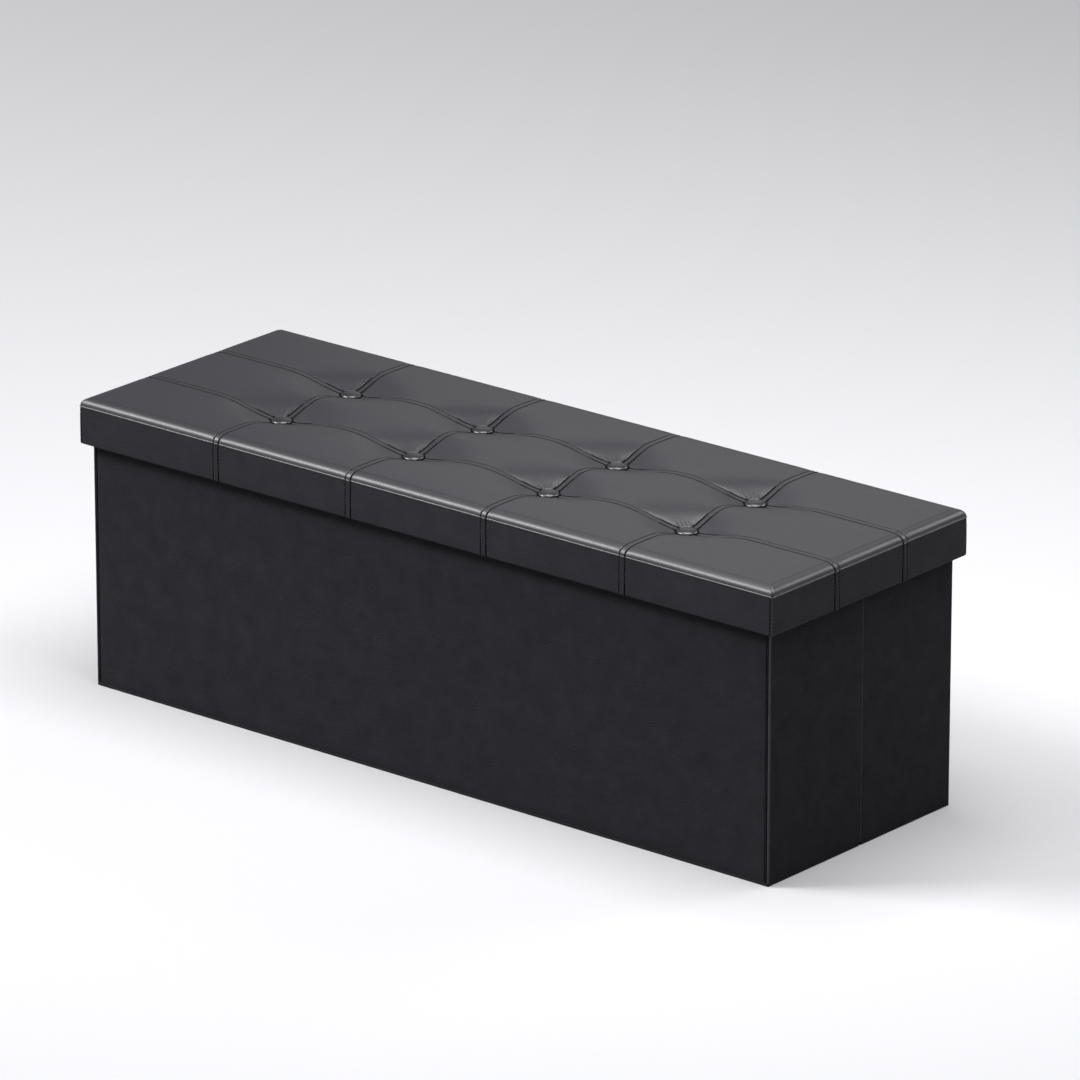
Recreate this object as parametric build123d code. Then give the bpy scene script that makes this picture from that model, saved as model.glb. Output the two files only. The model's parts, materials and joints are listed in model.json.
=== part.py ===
from build123d import *
from math import sqrt
import os

# Storage ottoman: a long, low box of padded panels that folds flat, a loose base board and a
# tufted lid that lifts off. Millimetres, +X along the length, +Y to the back, +Z up.
# The origin is on the floor, in the middle of the box. All the walls stand on soft hems, and
# every panel is a fibreboard sheet in a sewn cover.

# ---- Driving dimensions ----------------------------------------------------------------------

# Lid, over its cover
lid_length = 1100.0
lid_depth = 376.0
lid_overhang = 12.0  # from the face of a wall to the face of the skirt above it
skirt_overlap = 28.0  # how far the skirt hangs down over the walls
lid_corner_radius = 3.0
roll_radius = 8.0  # the soft edge between the skirt and the top

# Box
wall_height = 349.0
wall_board = 9.0  # fibreboard in a wall
wall_cover = 1.0  # coated fabric on the outside
wall_lining = 1.0  # non-woven cloth on the inside
hem_height = 4.0  # soft binding that closes a panel's lower edge
hem_radius = 1.5
corner_strip_width = 6.0  # sewn strip that covers the end of a long wall
corner_strip_radius = 2.0
corner_groove = 0.6  # stitched groove beside the corner's rounded edge
crease_half_gap = 1.5  # from the middle crease of an end wall to each of its halves

# Base board and its ribbon
base_sheet = 2.2
base_wrap = 0.8
base_clearance = 0.8
ribbon_length = 60.0
ribbon_width = 25.0
ribbon_thickness = 0.7
ribbon_inset = 12.0  # from the end of the base board

# Lid, inside
lid_board = 9.0
skirt_board = 5.0
lid_cover = 1.0
lid_lining = 0.8
pad_thickness = 20.0  # foam at its edges
panel_crown = 3.5  # how far a stuffed panel swells above the seams around it
panel_shoulder = 26.0  # width of the slope round a swollen panel
seam_width = 3.0
skirt_seam_spacing = 8.5  # between the two stitched grooves of a skirt seam
stitch_groove_width = 0.8
stitch_groove_depth = 0.5

# Tufting
tuft_columns = 4
tuft_rows = 2
tuft_spacing_x = 215.0
tuft_spacing_y = 131.0
tuft_depth = 13.5  # from the seams down to the seat of a button
well_reach = 60.0  # from a button along the seams to where the pad is full height again
button_radius = 13.0
button_height = 5.0
button_rim = 1.2  # straight side of a button below its dome
button_margin = 1.0  # flat seat round a button
twine_radius = 0.8
tie_hole_radius = 2.0
toggle_length = 20.0  # flat bar that locks a twine below the lid board
toggle_width = 7.0
toggle_thickness = 1.5

# Clearances
lid_rest_gap = 0.3  # between the wall tops and the lid's lining
fold_clearance = 0.3  # between pieces that turn past each other
toggle_clearance = 0.5  # round a toggle in its recess

# ---- Worked-out dimensions -------------------------------------------------------------------

body_half_length = lid_length / 2 - lid_overhang
body_half_depth = lid_depth / 2 - lid_overhang
wall_thickness = wall_cover + wall_board + wall_lining
long_wall_length = 2 * (body_half_length - corner_strip_width)
inner_half_length = body_half_length - wall_thickness
inner_half_depth = body_half_depth - wall_thickness
fold_half_depth = inner_half_depth - fold_clearance  # the four corner fold lines
end_half_length = fold_half_depth - crease_half_gap

skirt_bottom = wall_height - skirt_overlap
lining_bottom = wall_height + lid_rest_gap
board_bottom = lining_bottom + lid_lining
board_top = board_bottom + lid_board
pad_edge_top = board_top + pad_thickness
seam_top = pad_edge_top + lid_cover
button_seat = seam_top - tuft_depth

tuft_xs = [(i - (tuft_columns - 1) / 2) * tuft_spacing_x for i in range(tuft_columns)]
tuft_ys = [(j - (tuft_rows - 1) / 2) * tuft_spacing_y for j in range(tuft_rows)]
tuft_points = [(x, y) for y in tuft_ys for x in tuft_xs]

parts = {}


# ---- Helpers ---------------------------------------------------------------------------------


def block(x0, x1, y0, y1, z0, z1):
    """A box between two opposite corners."""
    return Pos((x0 + x1) / 2, (y0 + y1) / 2, (z0 + z1) / 2) * Box(x1 - x0, y1 - y0, z1 - z0)


def centred_block(half_x, half_y, z0, z1):
    """A box centred on the Z axis."""
    return block(-half_x, half_x, -half_y, half_y, z0, z1)


def rod(radius, z0, z1):
    """A round bar on the Z axis."""
    return Pos(0, 0, (z0 + z1) / 2) * Cylinder(radius, z1 - z0)


def frustum(lower_x, lower_y, upper_x, upper_y, height):
    """A four-sided frustum that stands on the XY plane, centred on the Z axis."""
    x0, y0 = (lower_x - upper_x) / 2, (lower_y - upper_y) / 2
    wedge = Wedge(
        lower_x, height, lower_y, x0, y0, x0 + upper_x, y0 + upper_y,
        align=(Align.NONE, Align.NONE, Align.NONE),
    )
    return Rot(90, 0, 0) * Pos(-lower_x / 2, 0, -lower_y / 2) * wedge


def upright_edges(solid):
    return solid.edges().filter_by(Axis.Z)


def at_tufts(solid):
    """A copy of the solid at each button."""
    return [Pos(x, y, 0) * solid for x, y in tuft_points]


# ---- Walls -----------------------------------------------------------------------------------


def wall_panel(length, hem_reach=0):
    """The four layers of a wall panel that runs along +X with its outer face on Y = 0.

    The hem runs past both ends of the panel by hem_reach.
    """
    top = wall_height
    board = block(
        wall_cover, length - wall_cover,
        wall_cover, wall_cover + wall_board,
        hem_height, top - wall_cover,
    )
    cover = block(0, length, 0, wall_cover + wall_board, hem_height, top) - board
    lining = block(0, length, wall_cover + wall_board, wall_thickness, hem_height, top)
    hem = block(-hem_reach, length + hem_reach, 0, wall_thickness, 0, hem_height)
    lower_edges = hem.edges().filter_by(Axis.X).group_by(Axis.Z)[0]
    hem = fillet(lower_edges, min(hem_radius, hem_height / 2, wall_thickness / 3))
    return {"board": board, "cover": cover, "lining": lining, "hem": hem}


def corner_strip():
    """The sewn strip on the +X end of a wall that runs along X, with its outer face on Y = 0."""
    strip = block(
        body_half_length - corner_strip_width, body_half_length,
        0, wall_thickness,
        hem_height, wall_height,
    )
    outer_edge = upright_edges(strip).sort_by(Axis.X)[-2:].sort_by(Axis.Y)[0]
    strip = fillet(outer_edge, corner_strip_radius)
    groove_x = body_half_length - corner_strip_radius
    groove = block(
        groove_x - corner_groove, groove_x, 0, corner_groove, hem_height, wall_height
    )
    return strip - groove


def add_long_walls():
    """Front and back walls, each with a sewn strip at both ends."""
    for name, turn in (("front", 0), ("back", 180)):
        place = Rot(0, 0, turn) * Pos(0, -body_half_depth, 0)
        for layer, solid in wall_panel(long_wall_length, corner_strip_width).items():
            parts[f"{name}_wall_{layer}"] = place * Pos(-long_wall_length / 2, 0, 0) * solid
        strip = corner_strip()
        right, left = place * strip, place * mirror(strip, Plane.YZ)
        if turn:
            right, left = left, right
        parts[f"{name}_right_corner_strip"] = right
        parts[f"{name}_left_corner_strip"] = left


def add_end_walls():
    """Each end wall is two half panels that meet at an upright crease in the middle."""
    front_half = {
        layer: Pos(body_half_length, -fold_half_depth, 0) * Rot(0, 0, 90) * solid
        for layer, solid in wall_panel(end_half_length).items()
    }
    crease = block(
        body_half_length - wall_cover, body_half_length,
        fold_clearance - crease_half_gap, crease_half_gap - fold_clearance,
        hem_height, wall_height,
    )
    for layer, solid in front_half.items():
        parts[f"right_front_{layer}"] = solid
        parts[f"right_rear_{layer}"] = mirror(solid, Plane.XZ)
        parts[f"left_front_{layer}"] = mirror(solid, Plane.YZ)
        parts[f"left_rear_{layer}"] = Rot(0, 0, 180) * solid
    parts["right_crease_strip"] = crease
    parts["left_crease_strip"] = mirror(crease, Plane.YZ)


# ---- Base board ------------------------------------------------------------------------------


def add_base():
    """A thin sheet wrapped in lining cloth that lies on the floor inside the walls."""
    half_x = inner_half_length - base_clearance
    half_y = inner_half_depth - base_clearance
    top = base_sheet + base_wrap
    sheet = centred_block(half_x - base_wrap, half_y - base_wrap, 0, base_sheet)
    parts["base_sheet"] = sheet
    parts["base_wrap"] = centred_block(half_x, half_y, 0, top) - sheet
    ribbon_end = half_x - ribbon_inset
    ribbon = block(
        ribbon_end - ribbon_length, ribbon_end,
        -ribbon_width / 2, ribbon_width / 2,
        top, top + ribbon_thickness,
    )
    free_corners = upright_edges(ribbon).group_by(Axis.X)[0]
    parts["base_ribbon"] = fillet(free_corners, ribbon_width / 3)


# ---- Lid -------------------------------------------------------------------------------------


def seam_lines(half_size, seams):
    """The edges of the panels between the seams, from one rolled edge to the other."""
    flat_half = half_size - roll_radius
    return [-flat_half] + seams + [flat_half]


def swollen_panel(x0, x1, y0, y1, z):
    """A stuffed panel that rises in a slope from the seams round it to its crown."""
    wide, deep = x1 - x0 - seam_width, y1 - y0 - seam_width
    swell = frustum(
        wide, deep, wide - 2 * panel_shoulder, deep - 2 * panel_shoulder, panel_crown
    )
    return Pos((x0 + x1) / 2, (y0 + y1) / 2, z) * swell


def button_well(seat, mouth):
    """The four-sided hollow round a button, with its corners on the seams."""
    floor = 2 * (button_radius + button_margin)
    wall_slope = (sqrt(2) * well_reach - floor) / (mouth - seat)
    depth = mouth + panel_crown - seat  # past the crown, so that it cuts cleanly
    width = floor + wall_slope * depth
    return Pos(0, 0, seat) * Rot(0, 0, 45) * frustum(floor, floor, width, width, depth)


def cushion_form(inset):
    """The outside of the lid, or the form that lies inset from it all over."""
    half_x, half_y = lid_length / 2 - inset, lid_depth / 2 - inset
    top = seam_top - inset
    form = centred_block(half_x, half_y, skirt_bottom + inset, top)
    form = fillet(upright_edges(form), lid_corner_radius - inset)
    form = fillet(form.faces().sort_by(Axis.Z)[-1].outer_wire().edges(), roll_radius - inset)
    xs = seam_lines(lid_length / 2, tuft_xs)
    ys = seam_lines(lid_depth / 2, tuft_ys)
    for x0, x1 in zip(xs, xs[1:]):
        for y0, y1 in zip(ys, ys[1:]):
            form += swollen_panel(x0, x1, y0, y1, top)
    return form - at_tufts(button_well(button_seat - inset, top + panel_crown))


def skirt_grooves():
    """The stitched grooves in the skirt: two down each seam and one round the lid below the roll."""
    roll_start = seam_top - roll_radius
    z = (skirt_bottom + roll_start) / 2
    drop = roll_start - skirt_bottom
    across_x = Box(stitch_groove_width, 2 * stitch_groove_depth, drop)
    across_y = Box(2 * stitch_groove_depth, stitch_groove_width, drop)
    grooves = []
    for side in (-1, 1):
        for offset in (-skirt_seam_spacing / 2, skirt_seam_spacing / 2):
            grooves += [Pos(x + offset, side * lid_depth / 2, z) * across_x for x in tuft_xs]
            grooves += [Pos(side * lid_length / 2, y + offset, z) * across_y for y in tuft_ys]
    band_floor = roll_start - stitch_groove_width
    around = centred_block(lid_length, lid_depth, band_floor, roll_start)
    core = centred_block(
        lid_length / 2 - stitch_groove_depth, lid_depth / 2 - stitch_groove_depth,
        band_floor, roll_start,
    )
    core = fillet(upright_edges(core), lid_corner_radius - stitch_groove_depth)
    return grooves + [around - core]


def add_lid_shell():
    """Board, skirt boards, foam pad, cover and lining of the lid."""
    half_x, half_y = lid_length / 2 - lid_cover, lid_depth / 2 - lid_cover
    board_floor = skirt_bottom + lid_cover
    recess_x, recess_y = half_x - skirt_board, half_y - skirt_board
    hollow_x, hollow_y = recess_x - lid_lining, recess_y - lid_lining
    corner = lid_corner_radius - lid_cover

    inner_form = cushion_form(lid_cover)
    cover = cushion_form(0) - inner_form
    cover -= centred_block(hollow_x, hollow_y, skirt_bottom, board_floor)
    cover -= skirt_grooves()
    tie_holes = at_tufts(rod(tie_hole_radius, board_bottom, seam_top))
    parts["lid_cover"] = cover - tie_holes
    pad = inner_form & centred_block(lid_length, lid_depth, board_top, seam_top + panel_crown)
    parts["seat_pad"] = pad - tie_holes

    board = centred_block(half_x, half_y, board_bottom, board_top)
    board = fillet(upright_edges(board), corner) - tie_holes
    recess = centred_block(
        toggle_length / 2 + toggle_clearance, toggle_width / 2 + toggle_clearance,
        board_bottom, board_bottom + toggle_thickness,
    )
    parts["lid_board"] = board - at_tufts(recess)

    front = block(-half_x, half_x, -half_y, -recess_y, board_floor, board_bottom)
    front = fillet(upright_edges(front).group_by(Axis.Y)[0], corner)
    right = block(recess_x, half_x, -recess_y, recess_y, board_floor, board_bottom)
    parts["skirt_board_front"] = front
    parts["skirt_board_back"] = mirror(front, Plane.XZ)
    parts["skirt_board_right"] = right
    parts["skirt_board_left"] = mirror(right, Plane.YZ)

    lining = centred_block(recess_x, recess_y, board_floor, board_bottom)
    parts["lid_lining"] = lining - centred_block(hollow_x, hollow_y, board_floor, lining_bottom)


def add_tufting():
    """Buttons pulled down into the pad, each tied through the board to a toggle."""
    rim_top = button_seat + button_rim
    dome_height = button_height - button_rim
    profile = Polyline(
        (0, button_seat + button_height),
        (0, button_seat),
        (button_radius, button_seat),
        (button_radius, rim_top),
    )
    sphere_radius = (button_radius**2 + dome_height**2) / (2 * dome_height)
    dome = RadiusArc((button_radius, rim_top), (0, button_seat + button_height), -sphere_radius)
    section = Plane.XZ * make_face([*profile.edges(), *dome.edges()])
    parts["tuft_buttons"] = Compound(children=at_tufts(revolve(section, Axis.Z)))
    toggle_top = board_bottom + toggle_thickness
    toggle = centred_block(toggle_length / 2, toggle_width / 2, board_bottom, toggle_top)
    parts["tie_toggles"] = Compound(children=at_tufts(toggle))
    twine = rod(twine_radius, toggle_top, button_seat)
    parts["tie_twines"] = Compound(children=at_tufts(twine))


# ---- Build -----------------------------------------------------------------------------------

add_long_walls()
add_end_walls()
add_base()
add_lid_shell()
add_tufting()

os.makedirs("parts", exist_ok=True)
for name, solid in parts.items():
    export_step(solid, f"parts/{name}.step")
print(f"{len(parts)} sub-parts written")
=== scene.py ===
import json
from math import ceil, cos, radians, sin

import bmesh
import bpy
import numpy as np
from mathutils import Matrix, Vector

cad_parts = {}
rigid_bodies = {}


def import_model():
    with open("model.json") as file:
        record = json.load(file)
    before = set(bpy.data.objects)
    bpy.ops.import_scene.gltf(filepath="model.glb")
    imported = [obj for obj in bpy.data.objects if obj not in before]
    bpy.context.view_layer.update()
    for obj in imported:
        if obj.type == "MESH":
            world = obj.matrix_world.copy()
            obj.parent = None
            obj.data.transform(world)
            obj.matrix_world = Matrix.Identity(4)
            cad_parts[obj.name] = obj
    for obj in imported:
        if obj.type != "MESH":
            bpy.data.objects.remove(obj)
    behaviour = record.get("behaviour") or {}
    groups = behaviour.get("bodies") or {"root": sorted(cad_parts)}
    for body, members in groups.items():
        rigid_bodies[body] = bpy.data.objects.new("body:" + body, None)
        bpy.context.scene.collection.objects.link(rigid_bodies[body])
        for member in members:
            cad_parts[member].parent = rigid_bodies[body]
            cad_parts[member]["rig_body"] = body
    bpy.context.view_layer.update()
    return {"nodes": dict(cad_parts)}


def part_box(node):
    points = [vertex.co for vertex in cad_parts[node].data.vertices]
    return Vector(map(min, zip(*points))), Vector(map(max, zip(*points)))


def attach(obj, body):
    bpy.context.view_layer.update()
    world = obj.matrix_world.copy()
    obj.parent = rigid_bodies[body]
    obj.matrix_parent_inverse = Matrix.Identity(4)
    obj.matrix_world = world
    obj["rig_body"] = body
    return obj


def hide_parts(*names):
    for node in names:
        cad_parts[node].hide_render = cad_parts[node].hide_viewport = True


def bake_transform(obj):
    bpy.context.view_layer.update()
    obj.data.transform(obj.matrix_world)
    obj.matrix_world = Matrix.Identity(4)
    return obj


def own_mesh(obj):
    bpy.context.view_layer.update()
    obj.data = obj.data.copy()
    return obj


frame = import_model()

# %% [markdown]
# # A folding storage ottoman
# The CAD frame gives every size and every moving body. This script only dresses it: a tufted
# cushion lid, leather-covered walls that fold, and a cloth-lined inside. Lengths are in metres,
# with +X along the ottoman, +Y to its back and +Z up, and one millimetre is written MM.

# %% The frame's own sizes
MM = 0.001
lid_low, lid_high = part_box("lid_cover")
board_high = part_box("lid_board")[1]
wall_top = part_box("front_wall_cover")[1].z
hem_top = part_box("front_wall_hem")[1].z
body_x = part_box("front_right_corner_strip")[1].x
body_y = -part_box("front_wall_cover")[0].y
print("lid", [round(v / MM, 1) for v in (*lid_low, *lid_high)], "walls", wall_top / MM)

# %% [markdown]
# ## Camera
# A long lens far away keeps the box's edges nearly parallel, as in a catalogue picture.
# The camera stands to the right of the front, a little above the lid, and turns to a point
# near the middle of the box. Placing it by two angles and a distance keeps the aim exact.

# %% Camera
camera_aim = Vector((0.0391, 0.0, 0.2756))
camera_azimuth, camera_elevation = radians(39.87), radians(19.42)
camera_distance = 10.932

camera_data = bpy.data.cameras.new("catalogue_camera")
camera_data.sensor_width = 36
camera_data.lens = 298.4
camera = bpy.data.objects.new("catalogue_camera", camera_data)
outward = Vector((
    sin(camera_azimuth) * cos(camera_elevation),
    -cos(camera_azimuth) * cos(camera_elevation),
    sin(camera_elevation),
))
camera.location = camera_aim + camera_distance * outward
camera.rotation_euler = (-outward).to_track_quat("-Z", "Y").to_euler()
bpy.context.scene.collection.objects.link(camera)
bpy.context.scene.camera = camera
bpy.context.scene.view_settings.view_transform = "Standard"
print("camera at", tuple(round(v, 3) for v in camera.location))

# %% [markdown]
# ## Helpers for nodes and colours
# Every finish here is a small node tree. `add` makes a node and sets or links its inputs in one
# call, and `set_inputs` does the same for a shader that is already there. Colours are written
# as the sRGB hex code that a paint or cloth chart would give, and `linear` turns them into the
# linear light values that the renderer works in.

# %% Node and colour helpers


def linear(hex_code):
    """Linear red, green, blue and alpha: each sRGB channel through the sRGB curve."""
    srgb = np.array([int(hex_code[i:i + 2], 16) for i in (1, 3, 5)]) / 255
    return (*np.where(srgb <= 0.04045, srgb / 12.92, ((srgb + 0.055) / 1.055) ** 2.4), 1.0)


def set_inputs(tree, node, inputs):
    """Sets each input of a node to a value, or links it to the output socket that is given."""
    for key, value in inputs.items():
        if isinstance(value, bpy.types.NodeSocket):
            tree.links.new(value, node.inputs[key])
        else:
            node.inputs[key].default_value = value


def add(tree, kind, inputs=None, **settings):
    """Adds a node. The inputs are values, or the output sockets to link in."""
    made = tree.nodes.new("ShaderNode" + kind)
    for key, value in settings.items():
        setattr(made, key, value)
    set_inputs(tree, made, inputs or {})
    return made


def maths(tree, operation, first, second):
    """The result of a Math node with two inputs."""
    return add(tree, "Math", {0: first, 1: second}, operation=operation).outputs[0]


print("middle grey #808080 is", round(linear("#808080")[0], 3), "of white in linear light")

# %% [markdown]
# ## Patterns in real sizes
# Four things come back in these finishes: a noise, a wave of even bands, a tone that wanders
# between two colours, and a relief of a given depth. Each has a helper that takes its size in
# metres, as it would be measured on the cloth, and works out the node's own scale.

# %% Pattern helpers


def noise(tree, place, size, detail, **inputs):
    """A noise pattern from 0 to 1, whose blobs are about size wide."""
    return add(tree, "TexNoise", {"Vector": place, "Scale": 1 / size, "Detail": detail,
                                  **inputs}).outputs["Fac"]


def bands(tree, place, spacing, axis, distortion=0.0):
    """A wave pattern from 0 to 1, whose bands lie spacing apart (2 pi / 20 / scale) on an axis."""
    return add(tree, "TexWave", {"Vector": place, "Scale": 0.314 / spacing,
                                 "Distortion": distortion}, bands_direction=axis).outputs["Fac"]


def tone_between(tree, share, dark, light):
    """A colour between two hex codes: the share socket says how far towards the light one."""
    return add(tree, "Mix", {"Factor": share, "A": linear(dark), "B": linear(light)},
               data_type="RGBA").outputs["Result"]


def relief(tree, height, depth):
    """A normal from a height socket whose full range stands for a depth in metres."""
    return add(tree, "Bump", {"Height": height, "Distance": depth}).outputs[0]


def new_finish(name):
    """An empty node material, with its tree, its surface shader and its Object coordinates."""
    finish = bpy.data.materials.new(name)
    finish.use_nodes = True
    tree = finish.node_tree
    shader = tree.nodes["Principled BSDF"]
    place = add(tree, "TexCoord").outputs["Object"]
    return finish, tree, shader, place


print("a wave with bands 1 mm apart has scale", round(0.314 / MM))

# %% [markdown]
# ## Studio
# A wide pale floor and a pale surround. Satin leather shows what stands round it, so what a
# camera or a reflection sees is kept apart from what lights the object: rays of the first kind
# meet light paper and a surround that darkens towards the ceiling, and all others meet greyer
# paper and a dim surround that is brightest overhead. The floor keeps its soft shadow that way
# and no light comes up from it under the skirt of the lid.

# %% Floor and surround
floor_size, floor_gap = 60.0, 0.1 * MM
floor_mesh = bpy.data.meshes.new("floor")
corners = np.array([(-1, -1, 0), (1, -1, 0), (1, 1, 0), (-1, 1, 0)]) * floor_size / 2
floor_mesh.from_pydata((corners - (0, 0, floor_gap)).tolist(), [], [(0, 1, 2, 3)])
floor = bpy.data.objects.new("floor", floor_mesh)
bpy.context.scene.collection.objects.link(floor)


def seen_ray(tree):
    """1 for a ray that the camera sees, directly, in a reflection or through glass, else 0."""
    path = add(tree, "LightPath")
    seen = path.outputs["Is Camera Ray"]
    for kind in ("Is Glossy Ray", "Is Transmission Ray"):
        seen = maths(tree, "MAXIMUM", seen, path.outputs[kind])
    return seen


# Matt paper, rolled: no gloss, so that it only takes the shadow.
paper, paper_tree, paper_shader, _ = new_finish("matt_backdrop_paper")
paper_seen, paper_lift = seen_ray(paper_tree), 0.12
set_inputs(paper_tree, paper_shader, {
    "Base Color": tone_between(paper_tree, paper_seen, "#6a6a6c", "#bdbdc0"),
    "Emission Color": (1, 1, 1, 1),
    "Emission Strength": maths(paper_tree, "MULTIPLY", paper_seen, paper_lift),
    "Roughness": 0.9,
    "Specular IOR Level": 0.1,
})
floor_mesh.materials.append(paper)

world = bpy.data.worlds.new("pale_surround")
world.use_nodes = True
bpy.context.scene.world = world
sky = world.node_tree
sky_seen, ambient_strength, seen_strength = seen_ray(sky), 0.21, 0.16
strength = add(sky, "MapRange", {"Value": sky_seen, "To Min": ambient_strength,
                                 "To Max": seen_strength})
upward = add(sky, "SeparateXYZ", {
    "Vector": add(sky, "TexCoord").outputs["Generated"]}).outputs["Z"]
ceiling_fade = add(sky, "MapRange", {"Value": upward, "From Min": 0.51, "From Max": 0.74,
                                     "To Min": 1.0, "To Max": 0.26},
                   interpolation_type="SMOOTHSTEP")
overhead = add(sky, "MapRange", {"Value": upward, "From Min": 0.0, "From Max": 0.8,
                                 "To Min": 0.2, "To Max": 1.5})
by_height = add(sky, "Mix", {"Factor": sky_seen, "A": overhead.outputs[0],
                             "B": ceiling_fade.outputs[0]})
set_inputs(sky, sky.nodes["Background"], {
    "Color": linear("#eeeef0"),
    "Strength": maths(sky, "MULTIPLY", strength.outputs[0], by_height.outputs[0]),
})
print("floor", floor_size, "m wide, surround", ambient_strength, "and", seen_strength)

# %% [markdown]
# ## Four soft lamps
# The lamps are large boxes of cloth with a light inside, so the leather shows broad soft
# reflections. The main one stands at the left front and makes the bright line along the rolled
# edge. Two behind, a faint one at the left and a stronger one at the right, are mirrored by the
# top towards the camera, and show the form of the cushion. One overhead fills the shadows.

# %% Lamps


def soft_lamp(name, place, aim, width, depth, watts):
    """A rectangular area lamp at place, turned to aim."""
    data = bpy.data.lights.new(name, "AREA")
    data.shape, data.size, data.size_y, data.energy = "RECTANGLE", width, depth, watts
    lamp = bpy.data.objects.new(name, data)
    lamp.location = place
    lamp.rotation_euler = (Vector(aim) - Vector(place)).to_track_quat("-Z", "Y").to_euler()
    bpy.context.scene.collection.objects.link(lamp)
    print(name, watts, "W")


lid_middle = (0, 0, lid_high.z)
soft_lamp("left_front_softbox", (-4.30, -3.40, 5.08), lid_middle, 2.6, 2.6, 590)
soft_lamp("rear_softbox", (-1.30, 2.20, 1.5), (0.3, 0, lid_high.z), 1.4, 1.0, 1.6)
soft_lamp("right_rear_softbox", (1.30, 2.05, 1.8), lid_middle, 1.3, 0.9, 23)
soft_lamp("top_softbox", (0.35, 0, 2.4), (0.35, 0, lid_high.z), 1.8, 1.2, 54)

# %% [markdown]
# ## Surfaces from numbers
# A new piece is a grid of points worked out with numpy. `grid_quads` numbers the four corners
# of each cell, and `show` puts points and cells into a mesh, shades it smooth, rides it on the
# body that carries it and hides the plain CAD solids that it stands for. `smooth` is the soft
# step that lets one shape fade into the next.

# %% Mesh helpers


def grid_quads(rows, columns, closed=False):
    """Corner numbers of a grid's cells; closed joins its last column to its first."""
    number = np.arange(rows * columns).reshape(rows, columns)
    if closed:
        number = np.hstack([number, number[:, :1]])
    a, b = number[:-1, :-1], number[:-1, 1:]
    c, d = number[1:, 1:], number[1:, :-1]
    return np.stack([a, b, c, d], axis=-1).reshape(-1, 4)


def weld(mesh, gap=1e-6):
    """Merges points that lie together, which also closes the poles of a surface."""
    work = bmesh.new()
    work.from_mesh(mesh)
    bmesh.ops.remove_doubles(work, verts=work.verts, dist=gap)
    bmesh.ops.recalc_face_normals(work, faces=work.faces)
    work.to_mesh(mesh)
    work.free()


def show(name, points, faces, finish, slot, body=None, stands_for=(), welded=True):
    """A smooth piece from points and faces, riding on its body."""
    mesh = bpy.data.meshes.new(name)
    mesh.from_pydata(np.asarray(points).reshape(-1, 3).tolist(), [], faces)
    if welded:
        weld(mesh)
    mesh.shade_smooth()
    for one in finish if isinstance(finish, (list, tuple)) else [finish]:
        mesh.materials.append(one)
    piece = bpy.data.objects.new(name, mesh)
    bpy.context.scene.collection.objects.link(piece)
    if body:
        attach(piece, body)
    if stands_for:
        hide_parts(*stands_for)
    return piece


def smooth(t):
    """A soft step: 0 below 0, 1 above 1 and a cubic between."""
    t = np.clip(t, 0, 1)
    return t * t * (3 - 2 * t)


print("a grid of 3 by 4 points has", len(grid_quads(3, 4)), "cells")

# %% [markdown]
# ## Coated leather cloth
# The cover is PU-coated cloth: a thin plastic skin, embossed with a hide grain by a roller and
# finished satin. A pebble of the grain is about 1.6 mm wide, and the skin's faint cloudiness
# about 30 mm. Where the cloth is pulled over foam the grain is stretched flat and shines more,
# and a fold lies between the two. So the same tree is made six times: deep grain for the walls
# and the skirt, shallow grain for the cushion, its tight rolled edge and the folded corners,
# and a near-black matt one that is painted shade, laid where the cover lies in shade: the
# stitch grooves, the moats round the buttons and the buttons' rims.

# %% Leather finish


def leather_cloth(name, grain_depth, roughness, dark, light, specular=0.5, coat=0.0,
                  pebble=1.6 * MM):
    """PU-coated cloth: pebble grain from the edges of cells, over faint clouds of tone."""
    finish, tree, shader, place = new_finish(name)
    clouds = noise(tree, place, 30 * MM, 6.0, Roughness=0.65)
    pebbles = add(tree, "TexVoronoi", {"Vector": place, "Scale": 1 / pebble,
                                       "Randomness": 1.0}, feature="DISTANCE_TO_EDGE")
    valley = add(tree, "MapRange", {"Value": pebbles.outputs["Distance"], "From Max": 0.22},
                 interpolation_type="SMOOTHSTEP")
    fine = noise(tree, place, 4.5 * MM, 4.0, Roughness=0.6)
    gloss = add(tree, "MapRange", {"Value": fine, "From Min": 0.3, "From Max": 0.7,
                                   "To Min": roughness - 0.05, "To Max": roughness + 0.06})
    height = maths(tree, "ADD", valley.outputs["Result"], fine)
    set_inputs(tree, shader, {
        "Base Color": tone_between(tree, clouds, dark, light),
        "Roughness": gloss.outputs[0],
        "Normal": relief(tree, height, grain_depth),
        "IOR": 1.5,
        "Specular IOR Level": specular,
        "Coat Weight": coat,
        "Coat Roughness": 0.34,
    })
    return finish


# On the flat faces the real grain would be too fine to show, so it is drawn coarser.
wide_pebble = 2.8 * MM
wall_leather = leather_cloth("pu_leather_embossed", 0.22 * MM, 0.50, "#27262a", "#3a393e",
                             0.025, pebble=wide_pebble)
skirt_leather = leather_cloth("pu_leather_skirt", 0.18 * MM, 0.48, "#29282c", "#3b3a3f",
                              0.06, pebble=wide_pebble)
lid_leather = leather_cloth("pu_leather_stretched", 0.02 * MM, 0.44, "#29282c", "#2d2c31",
                            0.4, coat=0.55)
edge_leather = leather_cloth("pu_leather_tight", 0.01 * MM, 0.52, "#29282c", "#2d2c31",
                             0.5, coat=0.40)
fold_leather = leather_cloth("pu_leather_folded", 0.04 * MM, 0.46, "#2d2c30", "#35343a",
                             0.35, coat=0.16)
# Painted shade: a near-black matt leather for the stitch grooves, the moats round the buttons and
# the buttons' rims.
painted_shade_leather = leather_cloth("pu_leather_painted_shade", 0.10 * MM, 0.80, "#0d0d0f", "#121214", 0.03)
print("leathers", [finish.name for finish in bpy.data.materials if "leather" in finish.name])

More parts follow.
